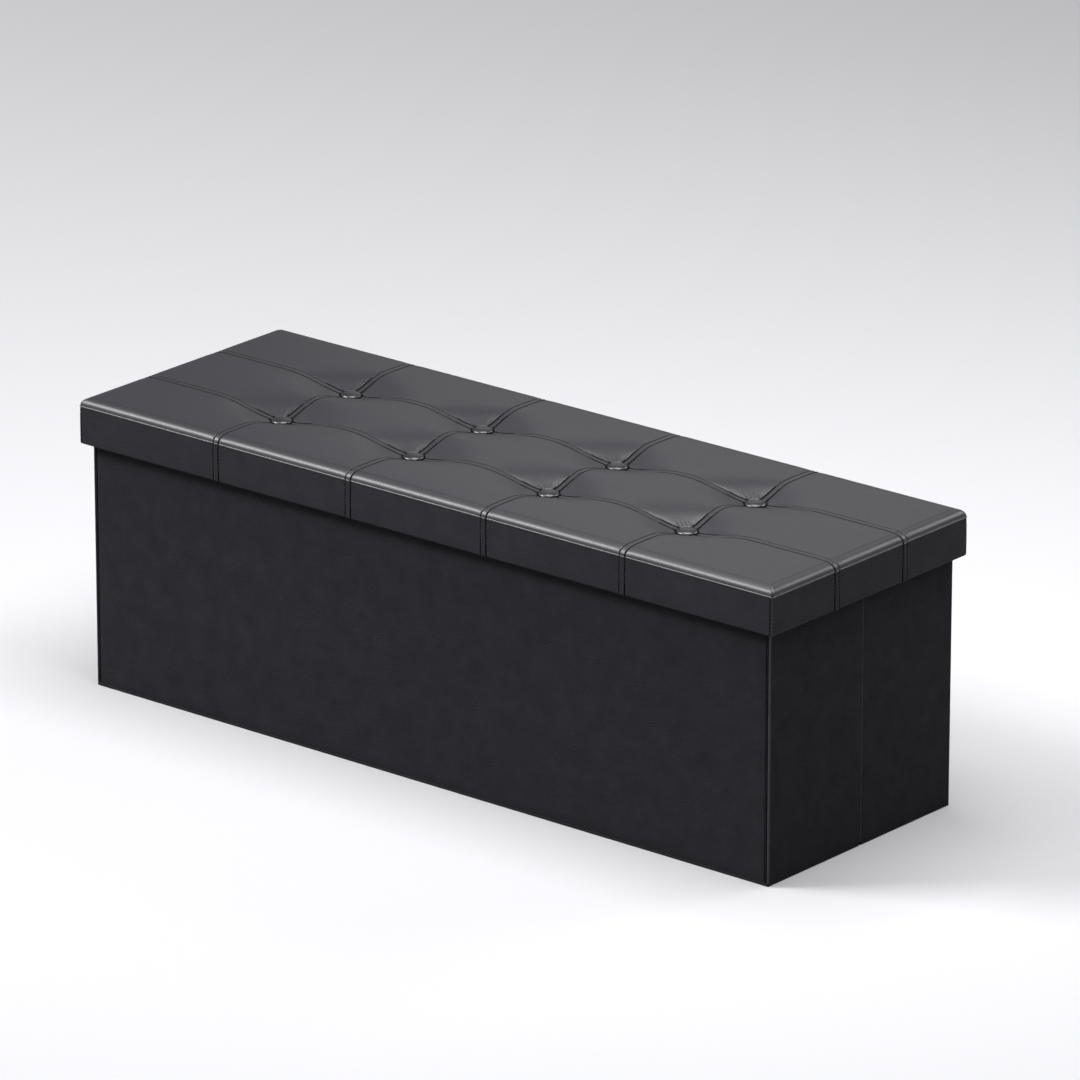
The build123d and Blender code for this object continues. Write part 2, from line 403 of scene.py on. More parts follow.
# %% [markdown]
# ## Seam plan of the lid
# Four seams run across the lid and two along it, and the eight places where they cross are
# pulled down by buttons. A cover sewn from flat pieces shows each seam as a band between two
# rows of stitches. The mesh needs close steps only where a band or a pucker is, so the
# positions of its rows are graded: close at a seam, medium beside it, wide over a panel.

# %% Seams, buttons and graded steps
button_low, button_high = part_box("tuft_buttons")
button_radius = 13 * MM
tuft_xs = np.linspace(button_low.x + button_radius, button_high.x - button_radius, 4)
tuft_ys = np.linspace(button_low.y + button_radius, button_high.y - button_radius, 2)

roll_radius = 9.6 * MM
sheet_x, sheet_y = lid_high.x - roll_radius, lid_high.y - roll_radius
panel_crown = 3.5 * MM
seam_z = lid_high.z - panel_crown
button_seat_z = button_low.z

band_half = 4.25 * MM  # from the middle of a seam to each of its stitch rows


def graded(seams, edge, open_step):
    """Positions from -edge to edge, closest in each band and wider step by step away from it."""
    reaches, near_steps = np.array([7.5, 26, 46]) * MM, np.array([0.62, 1.4, 4.5]) * MM
    rim_reaches, rim_steps = np.array([0, 3, 12]) * MM, np.array([0.5, 1.8]) * MM
    stops, steps = [*(rim_reaches - edge)], [*rim_steps]
    for seam in seams:
        stops += [*(seam - reaches[::-1]), *(seam + reaches)]
        steps += [open_step, *near_steps[:0:-1], *near_steps]
    stops += [*(edge - rim_reaches[::-1])]
    steps += [open_step, *rim_steps[::-1]]
    runs = [np.linspace(a, b, max(2, ceil((b - a) / step) + 1))[:-1]
            for a, b, step in zip(stops, stops[1:], steps)]
    return np.append(np.concatenate(runs), edge)


lid_xs = graded(tuft_xs, sheet_x, 9 * MM)
lid_ys = graded(tuft_ys, sheet_y, 8 * MM)
print("lid grid", len(lid_xs), "by", len(lid_ys))

# %% [markdown]
# ## Curves that shape a cushion
# Three things shape a tufted cushion. Each seam is drawn down most at its buttons and least
# half way between them, as a half cosine. From a seam the foam swells up to the panel's crown
# in a shoulder that is steep at the stitches and flat at the crown, and the first millimetre
# beside the stitches stands up as a lip. Each is a curve of the distance to the seams.

# %% Distances and curves
tuft_drop = seam_z - button_seat_z
seam_dip = 1.8 * MM  # of a seam half way between two buttons, under the crown beside it
pull_reach_x, pull_reach_y = 104 * MM, 66 * MM
free_shoulder, held_shoulder, rim_shoulder = 32 * MM, 72 * MM, 64 * MM
lip_height, lip_width, held_lip = 0.9 * MM, 3 * MM, 0.3  # the last is its share at a button
foam_crown = 0.6 * panel_crown  # the swell brings the rest


def gap_to_nearest(values, lines):
    """Signed distance from each value to the nearest line."""
    gaps = values[..., None] - lines
    nearest = np.abs(gaps).argmin(axis=-1)
    return np.take_along_axis(gaps, nearest[..., None], axis=-1)[..., 0]


def to_seams(x, y):
    """Signed distances to the nearest seam across X and across Y, and to the nearest button."""
    across_x, across_y = gap_to_nearest(x, tuft_xs), gap_to_nearest(y, tuft_ys)
    return across_x, across_y, np.hypot(across_x, across_y)


def pull(distance, reach):
    """Share of a button's pull on a seam: a half cosine from 1 at the button to 0 at reach."""
    return (1 + np.cos(np.pi * np.clip(np.abs(distance) / reach, 0, 1))) / 2


def shoulder(distance, width):
    """Share of a seam's depth that is left at a distance from its band: a falling parabola."""
    return np.clip(1 - np.clip(distance, 0, None) / width, 0, 1) ** 2


def lip(distance):
    """The steep first part of a panel's rise beside its stitches: an exponential fade."""
    return lip_height * np.exp(-np.clip(distance, 0, None) / lip_width)


def bell(distance, width):
    """A bell curve: 1 in the middle and 0.37 at the width from it."""
    return np.exp(-((distance / width) ** 2))


print("pull of a button half way to the next:",
      round(float(pull((tuft_xs[1] - tuft_xs[0]) / 2, pull_reach_x)), 2))

# %% [markdown]
# ## Height of the foam
# A seam takes its depth and the width of its shoulder from the pull of its nearest button. The
# seams across, the seams along and the rim each give a depth at (x, y). The deepest one wins,
# with a soft change between them where two shoulders meet, so no crease shows in a corner.

# %% Height of the foam


def stuffed_height(x, y, crown=foam_crown):
    """Height of the foam under the cover: the crown, less the deepest shoulder at (x, y)."""
    across_x, across_y, to_button = to_seams(x, y)
    beyond_button = to_button - button_radius - 0.4 * MM
    seams = []
    for along, across, reach in ((across_x, across_y, pull_reach_x),
                                 (across_y, across_x, pull_reach_y)):
        held, away = pull(along, reach), np.abs(across) - band_half
        lip_share = 1 - (1 - held_lip) * held
        depth = seam_dip + (crown + tuft_drop - seam_dip) * held - lip_height * lip_share
        width = free_shoulder + (held_shoulder - free_shoulder) * held
        seams.append(depth * shoulder(away, width)
                     + lip(np.minimum(away, beyond_button)) * lip_share)
    inset = np.minimum(sheet_x - np.abs(x), sheet_y - np.abs(y))
    rim = crown * shoulder(inset, rim_shoulder)
    deepest = (seams[0] ** 4 + seams[1] ** 4 + rim**4) ** 0.25 + 1e-9
    most = crown + tuft_drop + 0.6 * MM
    return seam_z + crown - (deepest**-8 + most**-8) ** (-1 / 8)


print("a button pulls the foam", round((foam_crown + tuft_drop) / MM, 1), "mm down")

# %% [markdown]
# ## Pulling the cover over the foam
# Real panels are not as even as a formula: the cover is cut a little smaller than the foam, so
# it bridges from seam to seam and presses the foam down beside them. A cloth simulation adds
# that. A coarse copy of the top is held along its seams, at its buttons and round its rim,
# shrunk a little, and pushed from inside by the foam. How far each point moves is then read
# back as one smooth field and added to the height, capped so that a panel keeps its size.

# %% Simulated swell
cell_x = (tuft_xs[1] - tuft_xs[0]) / 40
cell_y = (tuft_ys[1] - tuft_ys[0]) / 26
sim_xs = cell_x * np.arange(-ceil(sheet_x / cell_x), ceil(sheet_x / cell_x) + 1)
sim_ys = cell_y * np.arange(-ceil(sheet_y / cell_y), ceil(sheet_y / cell_y) + 1)
sim_shrink, sim_pressure, sim_frames = 0.002, 4.0, 20
swell_low, swell_high = -1.6 * MM, 1.6 * MM + 0.4 * panel_crown


def simulate_swell(x, y):
    """Rise of each point of the coarse sheet under the pressure, capped; held points stay."""
    start = stuffed_height(x, y)
    points = np.stack([x, y, start], axis=-1).reshape(-1, 3)
    mesh = bpy.data.meshes.new("swell_sheet")
    mesh.from_pydata(points.tolist(), [], grid_quads(*x.shape).tolist())
    sheet = bpy.data.objects.new("swell_sheet", mesh)
    bpy.context.scene.collection.objects.link(sheet)
    across_x, across_y, to_button = to_seams(x, y)
    held = (np.abs(across_x) < 1.2 * cell_x) | (np.abs(across_y) < 1.2 * cell_y)
    held |= to_button < 1.2 * button_radius
    held |= (np.abs(x) > sheet_x - cell_x) | (np.abs(y) > sheet_y - cell_y)
    pins = sheet.vertex_groups.new(name="held")
    pins.add(np.flatnonzero(held.ravel()).tolist(), 1.0, "REPLACE")
    settings = sheet.modifiers.new("cloth", "CLOTH").settings
    settings.vertex_group_mass = "held"
    settings.shrink_min = settings.shrink_max = sim_shrink
    settings.use_pressure = True
    settings.uniform_pressure_force = sim_pressure
    settings.effector_weights.gravity = 0
    settings.quality = 5
    settings.mass = 0.4
    settings.bending_stiffness = 8.0
    settings.tension_stiffness = settings.compression_stiffness = 25
    for number in range(1, sim_frames + 1):
        bpy.context.scene.frame_set(number)
    posed = sheet.evaluated_get(bpy.context.evaluated_depsgraph_get())
    moved = np.empty(len(points) * 3)
    posed.data.vertices.foreach_get("co", moved)
    rise = moved.reshape(-1, 3)[:, 2].reshape(x.shape) - start
    bpy.data.objects.remove(sheet)
    bpy.context.scene.frame_set(1)
    return np.clip(rise, swell_low, swell_high) * ~held


coarse_x, coarse_y = np.meshgrid(sim_xs, sim_ys)
swell = simulate_swell(coarse_x, coarse_y)
print("swell from", round(swell.min() / MM, 2), "to", round(swell.max() / MM, 2), "mm")

# %% [markdown]
# ## Seams, puckers and the finished top
# A sewn seam is a low arch of cloth between two grooves where the thread bites. Round a button
# the cloth has nowhere to go: it gathers in short folds that point at the button, and a narrow
# moat runs round the button where it is pressed in. The swell is read between the cells of the
# coarse sheet by a Catmull-Rom curve, which passes through each of them without a corner.

# %% Height of the finished top


def seam_relief(offset):
    """Height of a sewn band over the leather round it: a low arch between two stitched grooves."""
    arch = 0.35 * MM * smooth((band_half + 0.3 * MM - np.abs(offset)) / (1.4 * MM))
    return arch - 0.8 * MM * bell(np.abs(offset) - band_half, 0.6 * MM)


def spline_share(t, tap):
    """Catmull-Rom share of the tap (-1, 0, 1 or 2) at t between taps 0 and 1."""
    d = np.abs(t - tap)
    return np.where(d < 1, 1.5 * d**3 - 2.5 * d**2 + 1,
                    np.where(d < 2, -0.5 * d**3 + 2.5 * d**2 - 4 * d + 2, 0.0))


def read_swell(x, y):
    """The swell at (x, y): a Catmull-Rom curve through four cells each way."""
    total = np.zeros(np.broadcast(x, y).shape)
    col, row = (x - sim_xs[0]) / cell_x, (y - sim_ys[0]) / cell_y
    for i in range(-1, 3):
        c = np.clip(np.floor(col).astype(int) + i, 0, len(sim_xs) - 1)
        for j in range(-1, 3):
            r = np.clip(np.floor(row).astype(int) + j, 0, len(sim_ys) - 1)
            total = total + swell[r, c] * (
                spline_share(col % 1, i) * spline_share(row % 1, j))
    return total


def puckers(across_x, across_y, away, folds=24):
    """Short folds that radiate from each button between the bands: a sine of the bearing."""
    bearing = np.arctan2(across_y, across_x)
    beside_band = np.minimum(np.abs(across_x), np.abs(across_y)) - 4 * MM
    wave = np.sin(folds * bearing + 1.7 * np.sin(5 * bearing) + 0.09 * away / MM)
    return 0.32 * MM * bell(away - 20 * MM, 8 * MM) * smooth(beside_band / (4 * MM)) * wave


def cushion_height(x, y):
    """Height of the lid's top: the stuffed form, its swell, the puckers and the sewn bands."""
    across_x, across_y, to_button = to_seams(x, y)
    sewn = smooth((to_button - button_radius) / (3 * MM))
    seams = (seam_relief(across_y) + seam_relief(across_x)) * sewn
    inset = np.minimum(sheet_x - np.abs(x), sheet_y - np.abs(y))
    valley = 0.6 * MM * bell(inset - 1.2 * MM, 2.8 * MM)
    moat = 1.2 * MM * bell(to_button - button_radius - 0.8 * MM, 1.4 * MM)
    form = stuffed_height(x, y) + read_swell(x, y)
    return form + seams + puckers(across_x, across_y, to_button) - valley - moat


top_x, top_y = np.meshgrid(lid_xs, lid_ys, indexing="xy")
top_z = cushion_height(top_x, top_y)
print("top from", round(top_z.min() / MM, 1), "to", round(top_z.max() / MM, 1), "mm")

# %% [markdown]
# ## Edge of the lid
# Below the top comes the edge: a soft roll, a stitched groove with a thin welt under it, the
# skirt, and a fold inwards under the skirt board. That section is one profile, listed as
# steps outwards and down from the edge of the flat top, and it is carried all the way round.
# At a corner the roll closes to a point, and the skirt keeps a small radius.

# %% Profile of the lid's edge
skirt_bottom = lid_low.z - seam_z
roll_turn = np.radians(np.linspace(90, 4, 13))
roll = np.column_stack([roll_radius * np.cos(roll_turn), roll_radius * (np.sin(roll_turn) - 1)])
board_edge = board_high.x - sheet_x
return_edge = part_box("lid_lining")[1].x - sheet_x  # inside of the skirt's lining
lining_inner = return_edge - 0.8 * MM
welt_steps = np.array([(-0.25, 1.0), (-0.95, 0.6), (-0.75, 0.15), (0.05, -0.15), (0.25, -0.7),
                       (0.0, -1.35), (-0.35, -1.8), (-0.25, -4.0)])
skirt_steps = np.array([(-0.1, -20), (0, -32), (0, -44)])
foot_steps = np.array([(-0.05, 3), (-0.25, 1.2), (-0.7, 0.4), (-1.4, 0), (-5, 0.1)])
hem_steps = np.array([(0.3, 0.2), (0, 0.6), (0, 1.1)])
edge_profile = np.array([
    *roll[:-1],
    *(welt_steps * MM + (roll_radius, -roll_radius)),
    *(skirt_steps * MM + (roll_radius, 0)),
    *(foot_steps * MM + (roll_radius, skirt_bottom)),
    *(hem_steps * MM + (lining_inner, skirt_bottom)),
    (board_edge, skirt_bottom + 1.1 * MM), (board_edge, board_high.z - seam_z),
    (board_edge - 2 * MM, board_high.z - seam_z),
])
outer_steps = len(roll) + 14  # the steps that are on the outside: roll, welt and skirt
print("edge profile", len(edge_profile), "steps; skirt", round(-skirt_bottom / MM, 1), "mm")

# %% [markdown]
# ## A sheet whose edge carries a profile
# The cushion, every wrapped board and the lid's lining are the same thing to make: a sheet, and
# a section that is carried round its rim. `rim_path` walks round the sheet and turns in steps
# at each corner, and `carry_round` sets the section out along the walk.

# %% Rings round a sheet


def rim_path(us, vs, turn_steps):
    """Points and outward angles round a us by vs sheet, counter-clockwise.

    A corner is turned in equal angles, all at the sheet's own corner point.
    """
    turns = np.linspace(0, np.pi / 2, turn_steps + 1)[1:-1]
    sides = [
        (np.column_stack([us, np.full(len(us), vs[0])]), -np.pi / 2),
        (np.column_stack([np.full(len(vs), us[-1]), vs]), 0.0),
        (np.column_stack([us[::-1], np.full(len(us), vs[-1])]), np.pi / 2),
        (np.column_stack([np.full(len(vs), us[0]), vs[::-1]]), np.pi),
    ]
    points, angles = [], []
    for side, angle in sides:
        points += [side, np.repeat(side[-1:], len(turns), axis=0)]
        angles += [np.full(len(side), angle), angle + turns]
    return np.concatenate(points), np.concatenate(angles)


def straight_sides(angle):
    """Which points of a rim lie on its long sides and which on its short ones, by their angle."""
    return np.abs(np.sin(angle)) > 0.999, np.abs(np.cos(angle)) > 0.999


def carry_round(us, vs, profile, corner_radius, turn_steps=4):
    """Rings of points (u, v, height), one for each step of the profile, and their angles."""
    base, angle = rim_path(us, vs, turn_steps)
    on_long, on_short = straight_sides(angle)
    out = profile[:, 0][:, None]
    arc = np.minimum(corner_radius, np.abs(out)) * np.sign(out)
    near = 40 * MM  # from the end of a side, where the rings spread to meet the next side

    def spread(k, half, direction, straight):
        """One coordinate of the rings: straight out on its own sides, round at the corners."""
        start, sign = base[:, k], np.sign(base[:, k])
        fanned = (out - arc) * smooth((np.abs(start) - half + near) / near) * sign
        return np.where(straight, start + sign * out, start + arc * direction + fanned)

    u = spread(0, us[-1], np.cos(angle), on_short)
    v = spread(1, vs[-1], np.sin(angle), on_long)
    height = np.broadcast_to(profile[:, 1][:, None], u.shape)
    return np.stack([u, v, height], axis=-1), angle


# %% [markdown]
# ## Seams that run on down the edge
# A seam does not stop at the edge: it pinches the roll and runs on down the skirt, so the same
# band and grooves are pushed along each ring's own normal. At each corner of the skirt the
# cloth of the short side is lapped over the long side, and sewn down in a single groove.

# %% Edge of the cushion


def ring_normals(profile):
    """Outward and upward parts of the normal along a profile, from its own steps."""
    step = np.gradient(profile, axis=0)
    normal = np.column_stack([-step[:, 1], step[:, 0]])
    return normal / np.linalg.norm(normal, axis=1, keepdims=True)


def seam_fade(down):
    """1 at the top of the roll and 0 below it: how far the edge still follows the top."""
    return smooth(1 + down / (roll_radius + 1 * MM))


def pinch(offset):
    """How deep a seam draws the roll in, at an offset from the seam: a bell curve."""
    return 0.7 * MM * bell(offset, 9 * MM)


rings, ring_angle = carry_round(lid_xs, lid_ys, edge_profile, 2.4 * MM)
on_long, on_short = straight_sides(ring_angle)
profile_out, profile_down = edge_profile[:, :1], edge_profile[:, 1:]
fade = seam_fade(profile_down)
edge_z = cushion_height(rings[0, :, 0], rings[0, :, 1])
rings[..., 2] += seam_z + (edge_z - seam_z) * fade

no_seam = 1.0  # metres: where a ring turns a corner no seam is near
ring_offset = np.where(on_long, gap_to_nearest(rings[..., 0], tuft_xs),
                       np.where(on_short, gap_to_nearest(rings[..., 1], tuft_ys), no_seam))
outside = (np.arange(len(edge_profile)) < outer_steps)[:, None]
on_roll = smooth(profile_out / (3 * MM)) * smooth((profile_down + roll_radius) / (2 * MM))
below_welt = smooth(-(profile_down + roll_radius + 1.5 * MM) / (1.5 * MM))
corner_seam_x = lid_high.x - 3.3 * MM
corner_groove = 0.8 * MM * bell(np.abs(rings[..., 0]) - corner_seam_x, 0.9 * MM) * on_long
corner_sink = 0.9 * MM * np.sin(2 * ring_angle) ** 2

push = seam_relief(ring_offset) * (1 - fade)
push += (seam_relief(ring_offset) - pinch(ring_offset)) * fade * on_roll
push = (push - corner_groove * below_welt - corner_sink * on_roll) * outside
normals = ring_normals(edge_profile)
rings[..., 0] += push * normals[:, :1] * np.cos(ring_angle)
rings[..., 1] += push * normals[:, :1] * np.sin(ring_angle)
rings[..., 2] += push * normals[:, 1:]
print("edge pushed from", round(push.min() / MM, 2), "to", round(push.max() / MM, 2), "mm")

# %% [markdown]
# ## The cushion, as one skin
# The top grid and the rings of the edge are joined into one closed skin, because the real cover
# is one sewn bag. It stands for the plain cover and for the pad under it, which gives when
# someone sits down.

# %% Cushion skin


def closed_sheet(top, rings):
    """Points and faces of a sheet, the rings that follow its rim, and a face over the last one."""
    points = np.vstack([top.reshape(-1, 3), rings.reshape(-1, 3)])
    count = len(points) - rings.shape[0] * rings.shape[1]
    ring_faces = grid_quads(*rings.shape[:2], closed=True)[:, ::-1] + count
    last = len(points) - rings.shape[1] + np.arange(rings.shape[1])[::-1]
    return points, [*grid_quads(*top.shape[:2]).tolist(), *ring_faces.tolist(), last.tolist()]


top = np.stack([top_x, top_y, top_z], axis=-1)
lid_finishes = (lid_leather, skirt_leather, edge_leather, painted_shade_leather, fold_leather)
cushion = show("tufted_cushion_lid", *closed_sheet(top, rings), lid_finishes,
               "faux_leather", "lid", ["lid_cover", "seat_pad"])
print("cushion", len(cushion.data.polygons), "faces")

# %% [markdown]
# ## Which leather lies where
# The finish follows the place of each face: the skirt below the welt, the tight leather of the
# roll, the fold at each corner, and painted shade along the rows of stitches, in the groove at
# each corner of the skirt and round the rim of each button. A row's painted shade is wider
# near a button.

# %% Leathers of the cushion
centres = np.array([face.center for face in cushion.data.polygons])
centre_x, centre_y, centre_z = centres.T
past = np.abs(centres[:, :2]) - (sheet_x, sheet_y)
on_edge = past.max(axis=1) > 0.8 * MM
on_skirt = on_edge & (centre_z < seam_z - roll_radius - 1.5 * MM)
at_corner = on_skirt & (past > roll_radius - 1.7 * MM).all(axis=1)
above_hem = centre_z > lid_low.z + 0.5 * MM
across_x, across_y, to_tuft = to_seams(centre_x, centre_y)
to_row = np.minimum(*[np.abs(np.abs(across) - band_half) + no_seam * (past[:, k] > -1 * MM)
                      for k, across in enumerate((across_x, across_y))])
row_width = (1.0 + 1.1 * bell(to_tuft, 34 * MM)) * MM
# Painted shade: faces along each stitch groove, round the rim of each button and in the groove at
# each corner of the skirt take the near-black leather.
painted_shade = (to_row < row_width) & (to_tuft > button_radius - 2 * MM)
painted_shade |= np.abs(to_tuft - button_radius) < 2.0 * MM
painted_shade |= on_skirt & (past[:, 1] > 0) & (np.abs(np.abs(centre_x) - corner_seam_x) < 0.9 * MM)
in_turn = (painted_shade_leather, fold_leather, skirt_leather, edge_leather)  # the first that fits
cushion.data.polygons.foreach_set("material_index", np.select(
    [painted_shade & above_hem, at_corner, on_skirt, on_edge],
    [lid_finishes.index(finish) for finish in in_turn], 0).astype(np.int32))
print("needled faces", int((painted_shade & above_hem).sum()))

# %% [markdown]
# ## Covered buttons
# Each button is a metal cap covered in the same leather: a low dome with a tight round rim. It
# is a section turned about its own axis, and the cloth gathered under the rim shows as small
# folds round its side. Close to the seat the rim takes the near-black leather as painted shade,
# for the shade of the leather round it.

# %% Buttons
button_section = np.array([  # share of the radius, share of the height
    (0.55, 0.0), (0.80, 0.0), (0.93, 0.04), (0.985, 0.10), (1.0, 0.18),
    (1.0, 0.26), (0.98, 0.40), (0.93, 0.54), (0.86, 0.66), (0.76, 0.77),
    (0.62, 0.87), (0.45, 0.94), (0.25, 0.985), (0.0, 1.0),
])


def covered_buttons(centres, seat, radius, height, folds=26, around=78):
    """A domed cap at each centre: its section turned round, with a ripple gathered at the rim."""
    share, level = button_section.T[..., None]
    angle = np.linspace(0, 2 * np.pi, around, endpoint=False)
    gather = 0.012 * np.cos(folds * angle) * bell(level - 0.20, 0.14)
    r = radius * share * (1 + gather)
    ring = np.stack([r * np.cos(angle), r * np.sin(angle),
                     np.broadcast_to(seat + height * level, r.shape)], axis=-1)
    offsets = np.column_stack([centres, np.zeros(len(centres))])
    starts = r.size * np.arange(len(centres))[:, None]
    sides = grid_quads(*r.shape, closed=True)[None] + starts[..., None]
    bases = np.arange(around)[::-1] + starts
    return ring[None] + offsets[:, None, None], [*sides.reshape(-1, 4).tolist(), *bases.tolist()]


tufts = np.array([(x, y) for y in tuft_ys for x in tuft_xs])
button_leather = leather_cloth("pu_leather_button", 0.02 * MM, 0.36, "#1c1b1f", "#201f23",
                               0.5, coat=0.8)
buttons = show("covered_buttons",
               *covered_buttons(tufts, button_seat_z, button_radius, button_high.z - button_low.z),
               (button_leather, painted_shade_leather), "button_leather", "lid", ["tuft_buttons"])
# Painted shade: the rim's faces close to the seat take the near-black leather.
shaded_rim = button_seat_z + 1.2 * MM
in_shade = np.array([face.center.z < shaded_rim for face in buttons.data.polygons])
buttons.data.polygons.foreach_set("material_index", in_shade.astype(np.int32))
print("buttons", len(tufts))

# %% [markdown]
# ## Evenly spaced stitches
# A sewing machine feeds the cloth by the same step for each stitch. So a row of stitches is a
# line, with the normal of the cloth along it, and the stitches sit at equal steps of its length.
# The same function then serves the seams of the lid, the corners and the ribbon.

# %% Spots along a line
stitch_length, stitch_pitch, thread_radius = 3.3 * MM, 4.6 * MM, 0.42 * MM


def spaced(line, normals, pitch):
    """Points, directions and normals at equal steps along a line of close points."""
    run = np.append(0, np.cumsum(np.linalg.norm(np.diff(line, axis=0), axis=1)))
    at = np.arange(pitch / 2, run[-1], pitch)

    def read(values, where):
        """Each column of the values, read at distances along the line."""
        return np.column_stack([np.interp(where, run, values[:, k]) for k in range(3)])

    along = read(line, at + pitch / 4) - read(line, at - pitch / 4)
    along /= np.linalg.norm(along, axis=1, keepdims=True)
    normal = read(normals, at)
    normal -= along * (normal * along).sum(axis=1, keepdims=True)
    normal /= np.linalg.norm(normal, axis=1, keepdims=True)
    return read(line, at), along, normal


print("a stitch every", round(stitch_pitch / MM, 1), "mm")

# %% [markdown]
# ## Thread
# The bands are sewn with a black thread, thick enough to see as a row of dashes in each groove.
# A stitch is a small bead of thread that comes up out of the cloth and goes down again: a tube
# whose radius is a half ellipse, on a low arc. All rows of a seam are one mesh.

# %% Thread


def thread_beads(point, along, normal, sides=6, stations=6):
    """A bead of thread at each point: a tube whose radius is a half ellipse, on a low arc."""
    t = np.linspace(-1, 1, stations)
    radius = thread_radius * np.sqrt(1 - t**2)
    lift = thread_radius * (1.5 - 1.6 * t**2)
    turn = np.linspace(0, 2 * np.pi, sides, endpoint=False)
    side = np.cross(along, normal)
    shape = (len(point), stations, sides, 3)
    beads = np.broadcast_to(point[:, None, None], shape).copy()
    beads += along[:, None, None] * (t * stitch_length / 2)[None, :, None, None]
    rise = lift[:, None] + radius[:, None] * np.sin(turn)
    beads += normal[:, None, None] * rise[None, :, :, None]
    beads += side[:, None, None] * (radius[:, None] * np.cos(turn))[None, :, :, None]
    cells = grid_quads(stations, sides, closed=True)
    numbers = cells[None] + (np.arange(len(point)) * stations * sides)[:, None, None]
    return beads.reshape(-1, 3), numbers.reshape(-1, 4)


def sewn_rows(name, rows, body):
    """One piece of thread for many rows, each a (line, normals) pair, with the same finish."""
    spots = [np.concatenate(parts) for parts in zip(*[spaced(*row, stitch_pitch) for row in rows])]
    points, faces = thread_beads(*spots)
    show(name, points, faces.tolist(), thread, "nylon_twine", body)
    print(name, len(spots[0]), "stitches")


# Nylon, twisted and bonded with a clear coat: the fine ridges of the twist on a dull black.
thread, thread_tree, thread_shader, thread_place = new_finish("bonded_nylon_thread")
twist = bands(thread_tree, thread_place, 0.3768 * MM, "X", 1.0)
set_inputs(thread_tree, thread_shader, {
    "Base Color": linear("#101012"), "Roughness": 0.55,
    "Normal": relief(thread_tree, twist, 0.05 * MM)})

# %% [markdown]
# ## Stitch rows of the lid
# A row starts at the foot of the skirt, climbs over the roll, crosses the cushion in its groove
# and goes down on the other side. The line is read from the same formulas that made the skin,
# so each stitch lies in the groove. The seam at each corner of the skirt has a short row.

# %% Rows over the lid


def row_over_lid(axis, across):
    """Line and normals of a row that crosses the lid along X (axis 0) or Y (axis 1)."""
    half = (sheet_x, sheet_y)[axis]
    outer = edge_profile[:outer_steps - 4]  # down to the foot of the skirt
    drawn_in = seam_relief(band_half) - pinch(band_half) * seam_fade(outer[:, 1:])
    pushed = outer + ring_normals(edge_profile)[:len(outer)] * drawn_in
    run = np.linspace(-half, half, 400)
    flat = (run, np.full_like(run, across))
    top = cushion_height(*(flat if axis == 0 else flat[::-1]))
    left = np.column_stack([-half - pushed[::-1, 0], seam_z + pushed[::-1, 1]])
    right = np.column_stack([half + pushed[:, 0], seam_z + pushed[:, 1]])
    section = np.vstack([left[:-1], np.column_stack([run, top]), right[1:]])
    slope = np.gradient(section, axis=0)
    line, normals = np.full((2, len(section), 3), 0.0)
    line[:, axis], line[:, 1 - axis], line[:, 2] = section[:, 0], across, section[:, 1]
    normals[:, axis], normals[:, 2] = -slope[:, 1], slope[:, 0]
    normals /= np.linalg.norm(normals, axis=1, keepdims=True)
    return line, normals


def upright_row(x, y, levels):
    """Line and normals of a row that goes straight up at (x, y), on a face across Y."""
    line = np.column_stack([np.full_like(levels, x), np.full_like(levels, y), levels])
    return line, np.tile((0.0, np.sign(y), 0.0), (len(levels), 1))


box_corners = ((1, 1), (-1, 1), (1, -1), (-1, -1))  # signs of x and of y
skirt_levels = np.linspace(lid_low.z + 2 * MM, seam_z - 13 * MM, 12)
lid_rows = [row_over_lid(0, y + side * band_half) for y in tuft_ys for side in (-1, 1)]
lid_rows += [row_over_lid(1, x + side * band_half) for x in tuft_xs for side in (-1, 1)]
lid_rows += [upright_row(sign_x * corner_seam_x, sign_y * (lid_high.y - 1.1 * MM), skirt_levels)
             for sign_x, sign_y in box_corners]
sewn_rows("lid_seam_thread", lid_rows, "lid")

# %% [markdown]
# ## A wrapped board
# Each wall is a fibreboard sheet wrapped in leather. A real wrapped board has soft edges and a
# face that is very slightly uneven. A panel is a sheet whose edge carries a rounded profile,
# closed at the back, and it is set in place by the directions of its length, height and face.

# %% Shape of a wrapped board
directions = {
    "front": ((1, 0, 0), (0, 0, 1), (0, -1, 0)),
    "back": ((-1, 0, 0), (0, 0, 1), (0, 1, 0)),
    "right": ((0, 1, 0), (0, 0, 1), (1, 0, 0)),
    "left": ((0, -1, 0), (0, 0, 1), (-1, 0, 0)),
    "top": ((1, 0, 0), (0, 1, 0), (0, 0, 1)),
}
opposite = {"front": "back", "back": "front", "right": "left", "left": "right"}
end_halves = {"right_front": "right", "right_rear": "right",
              "left_front": "left", "left_rear": "left"}
wall_sides = {"front_wall": "front", "back_wall": "back", **end_halves}


def rounded_edge(radius, thickness, turns=5):
    """Profile of a wrapped edge: a quarter round in front, and the same one at the back."""
    turn = np.radians(np.linspace(90, 0, turns))
    front = np.column_stack([np.cos(turn), np.sin(turn) - 1]) * radius
    back = front[::-1] * (1, -1) - (0, thickness)
    return np.vstack([front, back])


def unevenness(u, v, amount, seed):
    """A few slow waves of different lengths and directions, added up."""
    waves = np.random.default_rng(seed).uniform((8, -9, 0), (24, 9, 6.3), (6, 3))
    turned = waves[:, 0] * u[..., None] + waves[:, 1] * v[..., None] + waves[:, 2]
    return amount * np.sin(turned).mean(axis=-1)


